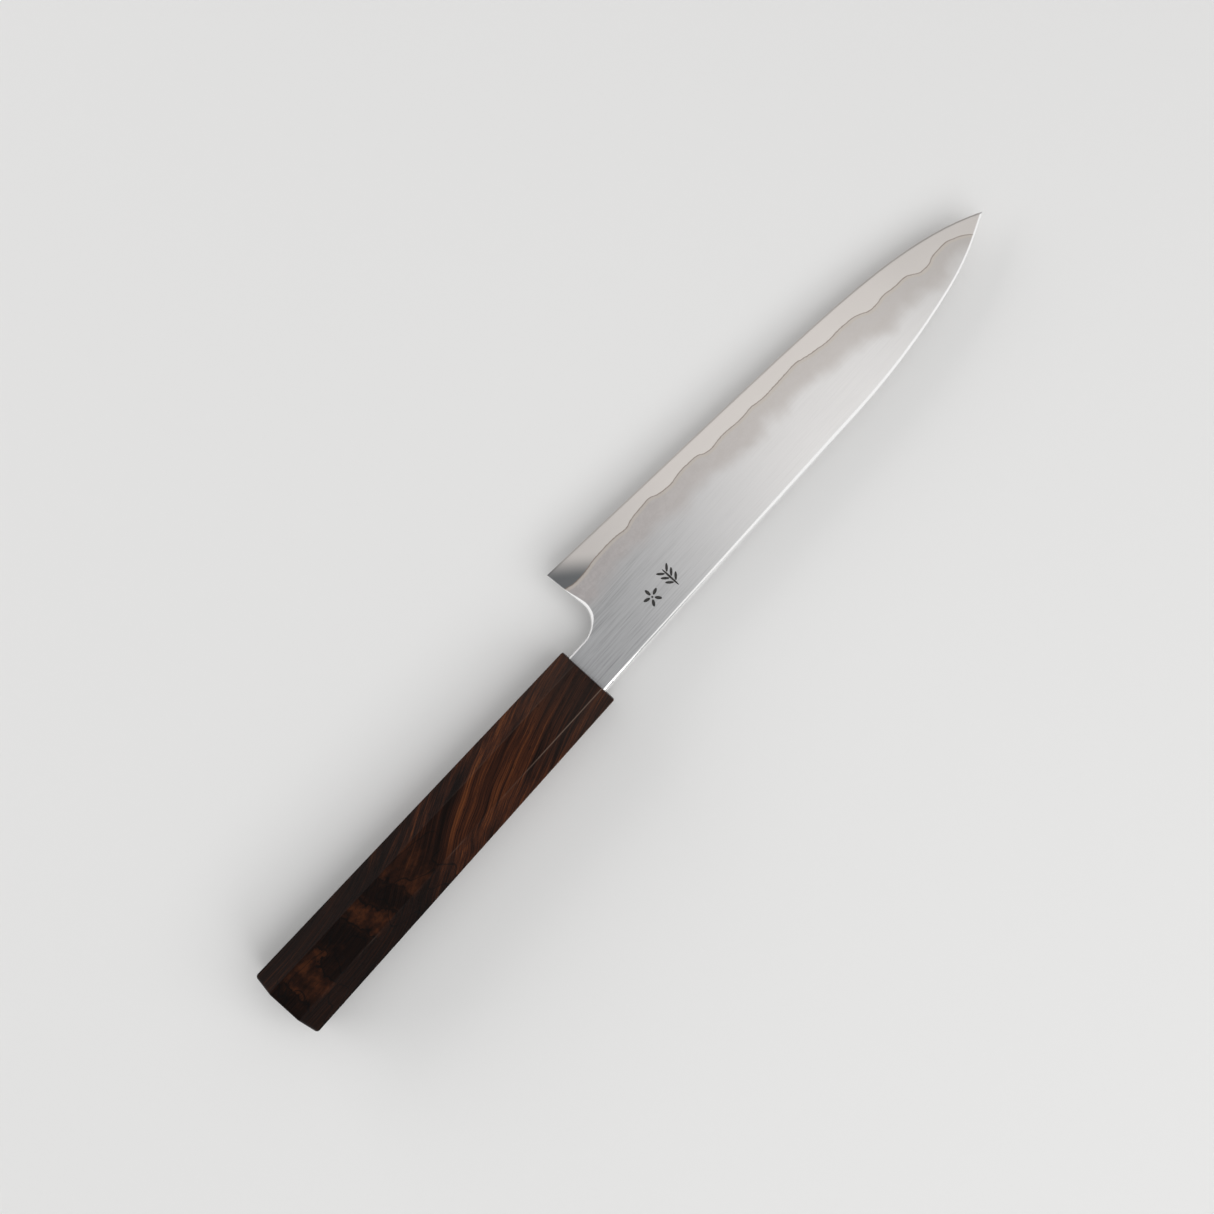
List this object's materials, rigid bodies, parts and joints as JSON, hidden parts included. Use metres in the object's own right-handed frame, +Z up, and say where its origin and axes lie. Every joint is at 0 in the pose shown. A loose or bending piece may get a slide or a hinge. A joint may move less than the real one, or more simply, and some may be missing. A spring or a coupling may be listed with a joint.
{
  "type": "chef knife",
  "caption": "Slim kitchen knife with a laminated steel blade, rounded spine and choil, and a tapered eight-sided dark wood handle, lying on its side.",
  "frame": {"origin": "middle of the handle's lower flat, the face the knife rests on", "axes": "+X along the knife from the butt to the tip, +Y across the blade from the spine to the cutting edge, +Z up, out of the blade's left side"},
  "size_m": [0.2814, 0.0365, 0.0192],
  "materials": {
    "core_steel": "satin",
    "outer_steel_left": "satin",
    "outer_steel_right": "satin",
    "handle_wood": "satin",
    "resin": "gloss",
    "wax": "satin"
  },
  "bodies": {
    "root": {"blade_core": "core_steel", "cladding_left": "outer_steel_left", "cladding_right": "outer_steel_right", "handle_body": "handle_wood", "tang_adhesive": "resin", "mouth_seal": "wax"}
  },
  "joints": []
}
